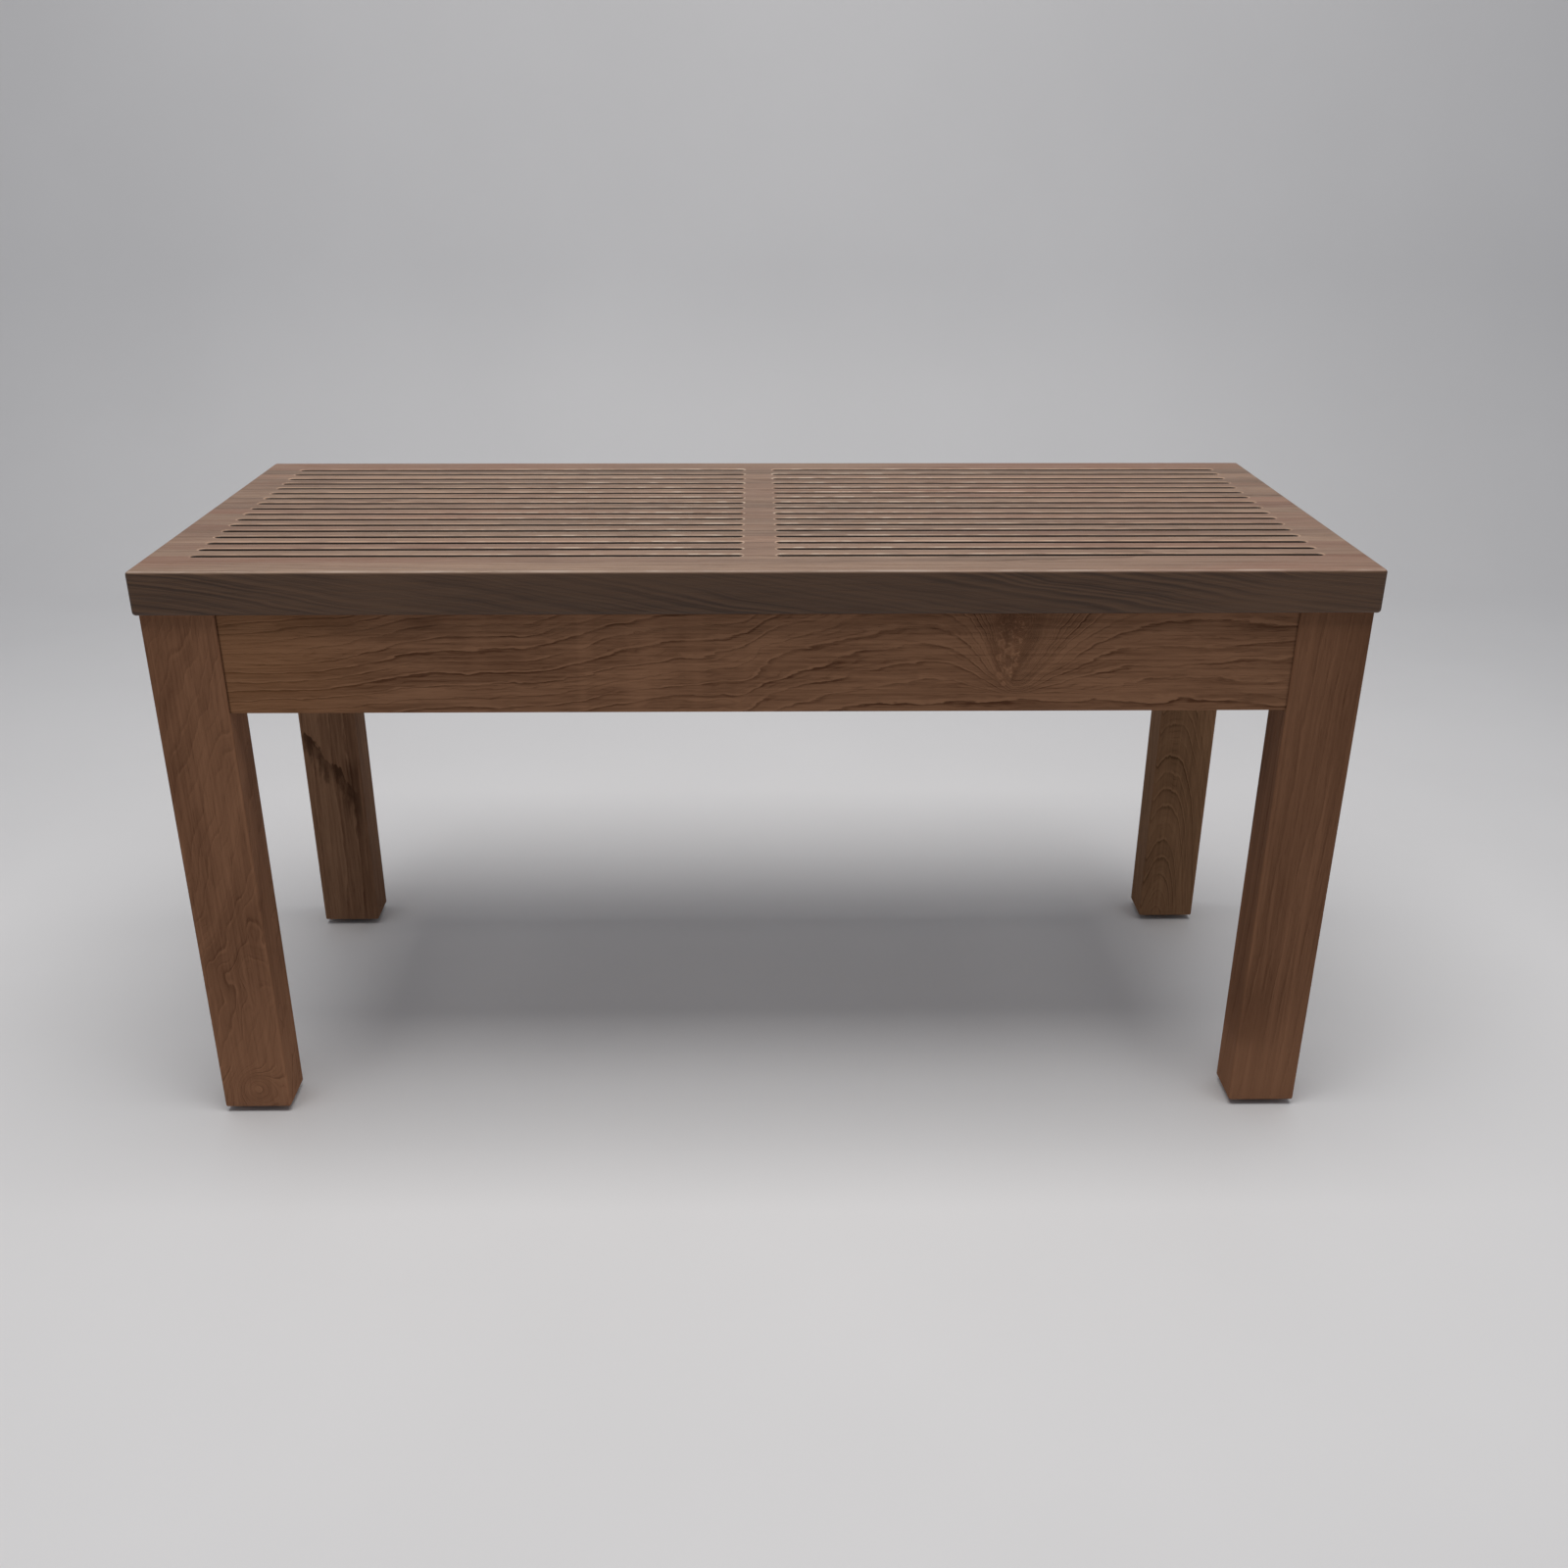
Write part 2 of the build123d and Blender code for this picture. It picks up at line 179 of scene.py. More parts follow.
# %% [markdown]
# ## One material per board
# No two boards come out of the same plank, so each has its own pith, ring width, lean and tone.
# `Board` opens a material for one wooden node and lays out its coordinates: the place in the
# object in metres, and the same place along, across and through the board from its middle. The
# ring figure and the finish are then added by two functions, with room between them for a knot, a
# dark streak or the walls of the slots, which only some boards have. The gloss of legs and aprons is
# far below real oiled teak's, because their sides catch this light at a grazing angle and turn lilac.

# %% Open a board's material
def toned(colour, factor):
    return tuple(v * factor for v in colour)


def coat(mesh, finish):
    mesh.materials.clear()
    mesh.materials.append(finish)


class Board:
    """A wooden node with a new material, its coordinates and the patches laid over its wood."""

    def __init__(self, node_name, grain, seed):
        self.name, self.seed = node_name, seed
        self.low, self.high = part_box(node_name)
        self.finish = bpy.data.materials.new("teak_" + node_name)
        self.finish.use_nodes = True
        self.tree = self.finish.node_tree
        self.shader = self.tree.nodes["Principled BSDF"]
        self.spot = add_node(self.tree, "ShaderNodeTexCoord").outputs["Object"]
        self.x, self.y, self.z = add_node(self.tree, "ShaderNodeSeparateXYZ", {0: self.spot}).outputs
        middle = (self.low + self.high) / 2
        centred = add_node(self.tree, "ShaderNodeVectorMath", {0: self.spot, 1: middle}, operation="SUBTRACT")
        parts = add_node(self.tree, "ShaderNodeSeparateXYZ", {0: centred.outputs[0]}).outputs
        order = {"X": (0, 1, 2), "Y": (1, 0, 2), "Z": (2, 0, 1)}[grain]
        self.along, self.across, self.through = (parts[a] for a in order)
        feeds = {0: self.along, 1: self.across, 2: self.through}
        self.place = add_node(self.tree, "ShaderNodeCombineXYZ", feeds).outputs[0]
        offset = (seed * 1.7, seed * 0.31, seed * 0.53)
        self.seeded = add_node(self.tree, "ShaderNodeVectorMath", {0: self.place, 1: offset},
                               operation="ADD").outputs[0]
        self.patches = []

    def calc(self, operation, *values, clamp=False):
        return calc(self.tree, operation, *values, clamp=clamp)

    def times(self, *values):
        return functools.reduce(lambda a, b: self.calc("MULTIPLY", a, b), values)

    def plus(self, *values):
        return functools.reduce(lambda a, b: self.calc("ADD", a, b), values)

    def minus(self, value, less):
        return self.calc("SUBTRACT", value, less)

    def size(self, value):
        """The value without its sign."""
        return self.calc("ABSOLUTE", value)

    def ramp(self, value, low, high, to_low=0.0, to_high=1.0, smooth=True):
        return ramp_between(self.tree, value, low, high, to_low, to_high, smooth)

    def noise(self, stretch, detail=2.0, roughness=0.5):
        return stretched_noise(self.tree, self.seeded, stretch, detail, roughness).outputs[0]


def ring_figure(board, pith, lean=(0.0, 0.0), wander=0.012):
    """Distance from the pith; pith and lean are (across, through)."""
    group = add_node(board.tree, "ShaderNodeGroup", node_tree=rings)
    sideways = (0.0, board.seed * 0.31, board.seed * 0.53)
    moved = add_node(board.tree, "ShaderNodeVectorMath", {0: board.place, 1: sideways}, operation="ADD").outputs[0]
    centre = (0.0, sideways[1] + pith[0], sideways[2] + pith[1])
    for key, value in (("Board", moved), ("Pith", centre), ("Lean", (0.0, *lean)), ("Wander", wander)):
        feed(board.tree, group.inputs[key], value)
    return group.outputs[0]


def finish_board(board, distance, ring_width, light, dark, line=0.6, fibre=1.3, relief=0.0004, worn_box=None,
                 gloss=0.004):
    """Turn the distance into wood, rub the arrises paler, lay the patches over it and assign it."""
    tree = board.tree
    wood = add_node(tree, "ShaderNodeGroup", node_tree=teak)
    for key, value in (("Board", board.seeded), ("Distance", distance), ("Ring width", ring_width), ("Line", line),
                       ("Light", (*light, 1.0)), ("Dark", (*dark, 1.0)), ("Fibre", fibre)):
        feed(tree, wood.inputs[key], value)
    low, high = worn_box or (board.low, board.high)
    feeds = {0: board.spot, 1: (low + high) / 2}
    size = add_node(tree, "ShaderNodeVectorMath", feeds, operation="SUBTRACT").outputs[0]
    size = add_node(tree, "ShaderNodeVectorMath", {0: size}, operation="ABSOLUTE").outputs[0]
    inset = add_node(tree, "ShaderNodeVectorMath", {0: (high - low) / 2, 1: size}, operation="SUBTRACT").outputs[0]
    a, b, c = add_node(tree, "ShaderNodeSeparateXYZ", {0: inset}).outputs
    to_arris = calc(tree, "MAXIMUM", calc(tree, "MINIMUM", a, b),
                    calc(tree, "MINIMUM", calc(tree, "MAXIMUM", a, b), c))
    patchy = board.noise((30.0, 90.0, 90.0), detail=3.0)
    worn = calc(tree, "MULTIPLY", ramp_between(tree, to_arris, 0.003, 0.0004),
                ramp_between(tree, patchy, 0.3, 0.7, 0.04, 0.28))
    colour = wood.outputs["Colour"]
    rough = wood.outputs["Roughness"]
    for amount, tint in [(worn, toned(light, 1.45)), *board.patches]:
        feeds = {0: amount, 6: colour, 7: (*tint, 1.0)}
        colour = add_node(tree, "ShaderNodeMix", feeds, data_type="RGBA").outputs[2]
    feed(tree, board.shader.inputs["Base Color"], colour)
    feed(tree, board.shader.inputs["Roughness"], rough)
    board.shader.inputs["Specular IOR Level"].default_value = gloss
    feeds = {"Strength": 1.0, "Distance": relief, "Height": wood.outputs["Height"]}
    feed(tree, board.shader.inputs["Normal"], add_node(tree, "ShaderNodeBump", feeds).outputs[0])
    coat(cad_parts[board.name].data, board.finish)
    return board.finish


print("board functions ready")

# %% [markdown]
# ## The seat
# Nineteen bars are glued edge to edge, and seventeen slots are cut on the glue lines in two fields.
# Each bar came from other stock, so the tones differ: one bar is a pale yellowish brown, a few are
# darker. The slot walls are painted nearly black, a painted shade in the slots over darker routed
# wood, and the rims are painted paler, a painted highlight. All of that is placed by the distance
# from the slots' outline: the rows come from the bars' own boxes, the fields' length and the slots'
# width are given.
# Three patches carry light and shade, not wood: the bright broken rims near the middle, the pale
# front arris, and the darker front face of the front bar. They suit this room's light only.

# %% Seat bars
seat_bars = ["front_bar", *[f"slat_{n:02d}" for n in range(1, 18)], "rear_bar"]
seat_low = Vector(map(min, *(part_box(bar)[0] for bar in seat_bars)))
seat_high = Vector(map(max, *(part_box(bar)[1] for bar in seat_bars)))
first_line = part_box("slat_01")[0].y
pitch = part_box("slat_01")[1].y - first_line
slot_half_width, slot_rim = 0.0032, 0.0016
field_middle, field_half = 0.215125, 0.201875
slot_rows = len(seat_bars) - 2
seat_light, seat_dark = (0.285, 0.185, 0.128), (0.115, 0.066, 0.042)
# Tones of the front bar's front face, painted darker as painted shade.
front_shade_light, front_shade_dark = (0.126, 0.067, 0.037), (0.056, 0.029, 0.0165)
# Near-black painted shade for the slot walls, a painted highlight for the rims near the middle, and the glue line's
# brown.
slot_shade_brown, glue_brown, sparkle_pale = (0.017, 0.0095, 0.0065), (0.09, 0.05, 0.032), (0.66, 0.55, 0.44)
# The last colour is the painted highlight along the front arris.
blush_red, streak_grey, arris_highlight_pale = (0.225, 0.112, 0.074), (0.135, 0.088, 0.062), (0.46, 0.37, 0.31)


def slot_walls_and_rims(board, rim_highlight_colour):
    """Painted shade on the slot walls, painted highlight on the rims and the dark glue line between bars."""
    index = board.calc("ROUND", board.calc("DIVIDE", board.minus(board.y, first_line), pitch))
    index = board.calc("MINIMUM", board.calc("MAXIMUM", index, 1.0), float(slot_rows))
    middle_y = board.plus(board.times(index, pitch), first_line)
    off_y = board.size(board.minus(board.y, middle_y))
    off_x = board.size(board.minus(board.size(board.x), field_middle))
    past = board.calc("MAXIMUM", board.minus(off_x, field_half - slot_half_width), 0.0)
    squares = board.plus(board.times(off_y, off_y), board.times(past, past))
    outside = board.minus(board.calc("SQRT", squares), slot_half_width)
    # The slot walls are painted nearly black: a painted shade in the slots over darker routed wood.
    deep = board.ramp(board.z, seat_high.z - 0.0003, seat_high.z - 0.0009)
    deep = board.times(deep, board.ramp(board.z, seat_high.z - 0.026, seat_high.z - 0.010, 0.45, 1.0))
    deep = board.times(deep, board.ramp(board.z, seat_low.z + 0.0004, seat_low.z + 0.002))
    wall = board.times(board.ramp(outside, 0.0014, 0.0007), deep)
    # The rims are painted paler: a painted highlight where they catch the light.
    rim = board.times(board.ramp(outside, slot_rim * 1.5, slot_rim * 0.9),
                      board.ramp(board.z, seat_high.z - 0.0007, seat_high.z - 0.0002))
    patchy = board.noise((40.0, 120.0, 120.0), detail=3.0)
    rim = board.times(rim, board.ramp(patchy, 0.35, 0.6, 0.25, 1.0))
    to_line = board.size(board.minus(board.size(board.minus(board.y, (board.low.y + board.high.y) / 2)),
                                     (board.high.y - board.low.y) / 2))
    glue = board.times(board.ramp(to_line, 0.0006, 0.0001), 0.4)
    sparkle = board.times(rim, board.ramp(board.size(board.x), 0.34, 0.06))
    sparkle = board.times(sparkle, board.ramp(board.noise((70.0, 150.0, 150.0), detail=3.0), 0.44, 0.60, 0.05, 0.6))
    board.patches += [(rim, rim_highlight_colour), (sparkle, sparkle_pale), (board.times(wall, 0.95), slot_shade_brown),
                      (glue, glue_brown)]


seat_tones = [1.08, 1.0, 1.0, 0.98, 1.12, 0.86, 0.95, 0.98, 0.98, 1.0, 0.88, 1.08, 0.97, 1.12, 0.95, 0.95, 1.12,
              0.84, 1.06]
for count, (bar, tone) in enumerate(zip(seat_bars, seat_tones)):
    board = Board(bar, "X", seed=count * 0.61)
    side = 0.03 + 0.02 * math.sin(count * 2.4)
    distance = ring_figure(board, (side * math.cos(count * 1.3), -0.05 - 0.03 * math.sin(count * 1.7)),
                           lean=(0.02 * math.sin(count), 0.01 * math.cos(count * 2.1)))
    slot_walls_and_rims(board, toned(seat_light, 1.45 * tone))
    # A slow red blush of random tone, kept weaker towards the middle, so the middle stays greyer as a painted
    # sheen.
    blush = board.ramp(board.noise((2.2, 12.0, 9.0), detail=3.0), 0.40, 0.64, 0.0, 0.62)
    blush = board.times(blush, board.ramp(board.size(board.x), 0.06, 0.26, 0.35, 1.0))
    board.patches.insert(0, (blush, toned(blush_red, tone)))
    grey_streaks = board.ramp(board.noise((7.0, 330.0, 330.0), detail=3.0), 0.5, 0.72, 0.0, 0.45)
    board.patches.insert(0, (grey_streaks, toned(streak_grey, tone)))
    if bar == "front_bar":
        # The front face is painted darker, a painted shade, darkest in its middle; its streaks are grain.
        front_face = board.times(board.ramp(board.y, seat_low.y + 0.0022, seat_low.y + 0.0012),
                                 board.ramp(board.z, seat_high.z - 0.0004, seat_high.z - 0.002))
        stripe = board.plus(board.times(board.x, 0.16), board.z)
        stripe = board.plus(stripe, board.times(board.noise((4.0, 1.0, 20.0), detail=3.0), 0.022))
        feeds = {"W": stripe, "Scale": 330.0, "Detail": 5.0, "Roughness": 0.68}
        streaks = add_node(board.tree, "ShaderNodeTexNoise", feeds, noise_dimensions="1D").outputs[0]
        streaks = board.plus(board.times(streaks, 0.75),
                             board.times(board.noise((20.0, 300.0, 300.0), detail=3.0), 0.25))
        board.patches.append((front_face, front_shade_light))
        streaks = board.times(board.ramp(streaks, 0.36, 0.66),
                              board.ramp(board.noise((6.0, 1.0, 24.0), detail=2.0), 0.3, 0.65, 0.25, 1.0))
        board.patches.append((board.times(front_face, streaks), front_shade_dark))
        dim = board.times(front_face, board.ramp(board.size(board.x), 0.34, 0.12, 0.0, 0.2))
        board.patches.append((dim, toned(front_shade_dark, 0.8)))
        # Painted highlight along the front top arris.
        front_arris_highlight = board.times(board.ramp(board.y, seat_low.y + 0.0030, seat_low.y + 0.0018),
                            board.ramp(board.z, seat_high.z - 0.0012, seat_high.z - 0.0002))
        front_arris_highlight = board.times(front_arris_highlight, board.ramp(board.noise((16.0, 1.0, 1.0), detail=4.0), 0.4, 0.62, 0.1, 0.6))
        board.patches.append((front_arris_highlight, arris_highlight_pale))
    finish_board(board, distance, 0.004 + 0.0012 * math.sin(count * 3.1), toned(seat_light, tone),
                 toned(seat_dark, tone),
                 line=0.4, fibre=1.7, relief=0.00025, worn_box=(seat_low, seat_high), gloss=0.4)
print("seat bars dressed", len(seat_bars), "pitch", round(pitch, 4))

# %% [markdown]
# ## The front apron
# The apron is the board that everyone sees. Its rings run nearly level at the right end, dive in a
# narrow cusp to a cluster of pin knots, arch over to the left of it, and then fall away in slow
# waves. That is a field: the level each point of the board would have if the rings were straight.
# The knot squeezes the levels towards the lower edge, and a drawn curve lifts them on the left.
# The thin dark line at each end is painted too, and stands in for the shadow in the joint.

# %% Apron front
apron_light, apron_dark = (0.290, 0.151, 0.086), (0.098, 0.043, 0.0230)
board = Board("apron_front", "X", seed=3.3)
base = board.low.z + 0.012
knot_x, knot_z = 0.188, board.low.z + 0.04
warp = board.times(board.minus(board.noise((11.0, 20.0, 34.0), detail=4.0, roughness=0.55), 0.5), 0.013)
sway = board.plus(board.x, board.times(board.minus(board.noise((30.0, 1.0, 55.0), detail=3.0), 0.5), 0.012))
left_run = board.calc("DIVIDE", board.calc("MAXIMUM", board.minus(sway, knot_x - 0.073), 0.0), 0.063)
left_dip = board.times(board.calc("POWER", left_run, 2.5), 0.70)
right_run = board.calc("DIVIDE", board.minus(knot_x + 0.013, sway), 0.037)
right_dip = board.times(board.calc("EXPONENT", right_run), 0.754)
dip = board.calc("SMOOTH_MIN", board.calc("SMOOTH_MIN", left_dip, right_dip, 0.35), 0.84, 0.3)
lifted = board.minus(board.z, base)
above = board.calc("MAXIMUM", lifted, 0.0)
level = board.plus(board.calc("DIVIDE", above, board.minus(1.0, dip)), board.calc("MINIMUM", lifted, 0.0))
share = board.calc("DIVIDE", board.plus(board.x, 0.4), 0.8)
curve = add_node(board.tree, "ShaderNodeFloatCurve", {"Value": share})
points = curve.mapping.curves[0].points
points[0].location, points[1].location = (0.0, 0.0), (1.0, 1.0)
for at, value in ((0.10, 0.06), (0.145, 0.15), (0.19, 0.25), (0.24, 0.29), (0.29, 0.33), (0.335, 0.43),
                  (0.375, 0.54),
                  (0.42, 0.60), (0.47, 0.61), (0.505, 0.74), (0.55, 0.86), (0.60, 0.96), (0.65, 1.0)):
    points.new(at, value)
curve.mapping.update()
rise = board.times(curve.outputs[0], 0.078)
weight = board.ramp(board.z, board.low.z, board.high.z, 0.5, 1.0, smooth=False)
level = board.minus(level, board.times(rise, weight))
ripple_zone = board.times(board.ramp(board.x, -0.24, -0.17), board.ramp(board.x, 0.03, -0.03))
ripple = stretched_noise(board.tree, board.spot, (42.0, 1.0, 6.0), detail=2.0).outputs[0]
level = board.plus(level, warp)
level = board.plus(level, board.times(ripple_zone, ripple, 0.004))

# %% Pin knots of the apron
flat_spot = add_node(board.tree, "ShaderNodeCombineXYZ", {0: board.x, 1: board.z}).outputs[0]
wobble = add_node(board.tree, "ShaderNodeTexNoise",
                  {"Vector": flat_spot, "Scale": 210.0, "Detail": 3.0}).outputs["Color"]
wobble = add_node(board.tree, "ShaderNodeVectorMath", {0: wobble, "Scale": 0.0036}, operation="SCALE").outputs[0]
flat_spot = add_node(board.tree, "ShaderNodeVectorMath", {0: flat_spot, 1: wobble}, operation="ADD").outputs[0]
pin_places = ((-0.0045, 0.007, 0.0034), (-0.011, 0.0125, 0.0032), (-0.0035, 0.0145, 0.0018),
              (-0.0125, 0.002, 0.0026),
              (-0.0045, -0.008, 0.0028), (0.001, -0.004, 0.0024), (-0.011, -0.012, 0.003), (-0.008, -0.0185,
                                                                                            0.0022))
eyes, rims, centres = 0.0, 0.0, 0.0
for pin_x, pin_z, pin_radius in pin_places:
    middle = (knot_x + pin_x + 0.0015, knot_z + pin_z + 0.0015, 0.0)
    away = add_node(board.tree, "ShaderNodeVectorMath", {0: flat_spot, 1: middle},
                    operation="DISTANCE").outputs["Value"]
    share = board.calc("DIVIDE", away, pin_radius)
    eyes = board.calc("MAXIMUM", eyes, board.ramp(share, 1.5, 0.5))
    wave = board.plus(board.times(board.calc("COSINE", board.times(share, 6.5)), -0.5), 0.5)
    rims = board.calc("MAXIMUM", rims, board.times(wave, board.ramp(share, 1.9, 0.9)))
    centres = board.calc("MAXIMUM", centres, board.ramp(share, 0.40, 0.22))
swirled_x, swirled_z = add_node(board.tree, "ShaderNodeSeparateXYZ", {0: flat_spot}).outputs[:2]
funnel_up = board.minus(swirled_z, knot_z - 0.0155)
funnel_middle = board.plus(board.times(funnel_up, 0.05), knot_x - 0.0045)
funnel_half = board.calc("MAXIMUM", board.calc("MULTIPLY_ADD", funnel_up, 0.25, 0.003), 0.001)
aside = board.calc("DIVIDE", board.size(board.minus(swirled_x, funnel_middle)), funnel_half)
starts = board.ramp(funnel_up, -0.002, 0.004)
flanks = board.times(board.ramp(aside, 2.1, 1.0), board.ramp(funnel_up, 0.055, 0.03), starts)
inside = board.times(board.ramp(aside, 1.15, 0.7), starts)
curly = add_node(board.tree, "ShaderNodeTexNoise",
                 {"Vector": flat_spot, "Scale": 230.0, "Detail": 4.0, "Distortion": 1.6}).outputs[0]
topmost = board.ramp(swirled_z, knot_z + 0.016, knot_z + 0.028)
board.patches += [(board.times(flanks, 0.42), toned(apron_dark, 1.2)),
                  (board.times(inside, 0.8), toned(apron_light, 0.9)),
                  (board.times(inside, board.ramp(curly, 0.42, 0.62, 0.0, 0.5)), toned(apron_dark, 1.6)),
                  (board.times(inside, board.ramp(curly, 0.46, 0.34, 0.0, 0.7)), toned(apron_light, 1.45)),
                  (board.times(eyes, 0.6), toned(apron_light, 1.4)),
                  (board.times(rims, 0.4), toned(apron_dark, 1.5)),
                  (board.times(centres, 0.9), toned(apron_dark, 0.45)),
                  (board.times(inside, topmost, 0.35), toned(apron_dark, 1.3))]
pale_bands = board.times(ripple_zone, board.ramp(ripple, 0.5, 0.72), 0.3)
board.patches.append((pale_bands, toned(apron_light, 1.25)))
stretched_low, stretched_high = board.low.copy(), board.high.copy()
stretched_low.x, stretched_high.x, stretched_high.z = board.low.x - 0.1, board.high.x + 0.1, board.high.z + 0.1
cloud = board.ramp(stretched_noise(board.tree, board.spot, (9.0, 1.0, 26.0), detail=4.0).outputs[0], 0.52, 0.68)
cloud = board.times(cloud, board.times(board.ramp(board.z, 0.392, 0.418), board.ramp(board.x, 0.02, -0.08)))
board.patches.append((board.times(cloud, 0.5), toned(apron_dark, 0.9)))
board.patches.append((board.ramp(board.x, -0.24, -0.37, 0.0, 0.3), (0.33, 0.158, 0.068)))
joint_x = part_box("leg_front_right")[0].x
shoulder = board.minus(joint_x, board.size(board.x))
joint_line = board.times(board.ramp(shoulder, 0.0018, 0.0003), board.ramp(board.x, -0.3, 0.3, 0.75, 0.42))
board.patches.append((joint_line, toned(apron_dark, 0.45)))
finish_board(board, level, 0.0074, apron_light, apron_dark, line=0.66, fibre=1.5, relief=0.0006,
             worn_box=(stretched_low, stretched_high))
print("apron front dressed; knot at", round(knot_x, 3), round(knot_z, 3))

# %% [markdown]
# ## Legs, the other aprons and the centre rail
# The front left leg is cut across a fork, so its figure swings from slanting streaks to a closed
# swirl at the foot. The rear left leg carries a dark flame, the rear right one a row of arches, and
# the front right one is plain and straight.

# %% Legs
leg_light, leg_dark = (0.288, 0.144, 0.081), (0.118, 0.053, 0.0295)


def swirl(board, distance, at_x, at_z, radius, depth):
    """Bend the rings round a hidden knot, so that they close into a swirl."""
    off_x, off_z = board.minus(board.x, at_x), board.minus(board.z, at_z)
    squares = board.plus(board.times(off_x, off_x), board.times(off_z, off_z))
    bump = board.calc("EXPONENT", board.calc("DIVIDE", squares, -radius * radius))
    return board.plus(distance, board.times(bump, depth))


board = Board("leg_front_left", "Z", seed=7.3)
coarse = board.minus(board.noise((19.0, 30.0, 30.0), detail=1.5), 0.5)
swing = board.times(board.ramp(board.z, 0.25, 0.16), board.ramp(board.z, 0.05, 0.11))
distance = board.minus(board.across, board.times(board.along, 0.4))
distance = board.plus(distance, board.times(board.through, 0.7))
distance = board.plus(distance, board.times(coarse, board.ramp(swing, 0.0, 1.0, 0.03, 0.06)))
distance = swirl(board, distance, -0.419, 0.023, 0.0135, 0.044)
pale_eye = (-0.419, board.low.y, 0.023)
eye = add_node(board.tree, "ShaderNodeVectorMath", {0: board.spot, 1: pale_eye},
               operation="DISTANCE").outputs["Value"]
board.patches.append((board.ramp(eye, 0.0062, 0.0015, 0.0, 0.35), toned(leg_light, 1.4)))
around = board.times(board.ramp(eye, 0.0145, 0.0115), board.ramp(eye, 0.0075, 0.0105))
board.patches.append((board.times(around, 0.28), toned(leg_dark, 1.1)))
middle = board.times(board.ramp(board.z, 0.26, 0.2), board.ramp(board.z, 0.05, 0.08))
strength = board.ramp(board.calc("MAXIMUM", board.times(middle, 0.2), board.ramp(board.z, 0.05, 0.04)), 0.0, 1.0,
                      0.2, 1.5)
# Lighter towards the foot: painted light from the floor.
board.patches.append((board.ramp(board.z, 0.15, 0.03, 0.0, 0.3), toned(leg_light, 1.45)))
finish_board(board, distance, 0.0095, leg_light, leg_dark, line=strength, fibre=1.1, relief=0.0003)

board = Board("leg_front_right", "Z", seed=8.1)
distance = ring_figure(board, (-0.11, 0.05), lean=(0.05, 0.0), wander=0.02)
pale = board.times(board.ramp(board.noise((3.0, 160.0, 40.0), detail=3.0), 0.48, 0.7),
                   board.ramp(board.z, 0.33, 0.22))
board.patches.append((board.times(pale, 0.3), toned(leg_light, 1.25)))
low_band = board.times(board.ramp(board.z, 0.052, 0.066), board.ramp(board.z, 0.13, 0.075))
board.patches.append((board.times(low_band, board.ramp(board.x, 0.43, 0.405, 0.0, 0.4)), toned(leg_dark, 0.9)))
# Lighter towards the foot: painted light from the floor.
board.patches.append((board.ramp(board.z, 0.12, 0.02, 0.0, 0.5), toned(leg_light, 1.15)))
finish_board(board, distance, 0.0075, toned(leg_light, 0.81), toned(leg_dark, 0.81), line=0.3, fibre=0.75,
             relief=0.0003)

board = Board("leg_rear_left", "Z", seed=9.4)
distance = ring_figure(board, (0.05, 0.03), lean=(0.04, 0.0), wander=0.03)
edge = board.minus(0.213, board.times(board.plus(board.x, 0.446), 1.35))
torn = board.minus(board.noise((45.0, 120.0, 60.0), detail=4.0, roughness=0.6), 0.5)
edge = board.plus(edge, board.times(torn, 0.035))
below = board.minus(edge, board.z)
flame = board.times(board.ramp(below, 0.0, 0.0025),
                    board.ramp(below, board.ramp(torn, -0.1, 0.12, 0.022, 0.07), 0.004))
flame = board.times(flame, board.ramp(board.x, -0.396, -0.402))
flame = board.times(flame, board.ramp(board.plus(board.y, board.times(torn, 0.03)), 0.166, 0.158))
drips = board.times(board.ramp(board.noise((5.0, 170.0, 40.0), detail=2.0), 0.45, 0.68),
                    board.ramp(board.x, -0.418, -0.408))
drips = board.times(drips, board.times(board.ramp(board.z, 0.185, 0.165), board.ramp(board.z, 0.07, 0.13)))
drips = board.times(drips, board.ramp(board.y, 0.172, 0.16))
board.patches.append((board.times(drips, 0.55), toned(leg_dark, 0.5)))
board.patches.append((board.times(flame, board.ramp(torn, -0.12, 0.1, 0.45, 0.85)), toned(leg_dark, 0.42)))
finish_board(board, distance, 0.008, (0.280, 0.157, 0.093), toned(leg_dark, 0.97), line=0.4, fibre=1.6,
             relief=0.0003)

board = Board("leg_rear_right", "Z", seed=10.9)
distance = ring_figure(board, (-0.012, 0.026), lean=(0.0, 0.17), wander=0.01)
finish_board(board, distance, 0.0030, (0.303, 0.167, 0.091), (0.115, 0.060, 0.031), line=0.66, fibre=0.9,
             relief=0.0002)

# %% Rear and end aprons, centre rail
hidden_boards = (("apron_rear", "X", (0.02, 0.05), 0.0), ("apron_left", "Y", (0.04, 0.03), 0.02),
                 ("apron_right", "Y", (-0.05, -0.04), -0.02), ("centre_rail", "Y", (0.03, -0.03), 0.01))
for count, (board_name, run, pith, slant) in enumerate(hidden_boards):
    board = Board(board_name, run, seed=12.0 + count * 0.77)
    distance = ring_figure(board, pith, lean=(0.0, slant), wander=0.02)
    finish_board(board, distance, 0.006, apron_light, apron_dark, line=0.7, relief=0.0004)

# %% [markdown]
# ## Tools for modelling the fittings
# The fittings are made by hand: a primitive of the right size, then faces or edges picked by their
# place and pushed about in edit mode. Each picking function takes a test, so that the choice is
# written where it is used. When a piece is done its object is back at the origin.

# %% Helpers for modelling
def only(*pieces):
    """Select these pieces and nothing else; the first is the active one."""
    bpy.ops.object.select_all(action="DESELECT")
    for piece in pieces:
        piece.select_set(True)
    bpy.context.view_layer.objects.active = pieces[0]


def copy_of(piece):
    only(piece)
    bpy.ops.object.duplicate()
    return bpy.context.object


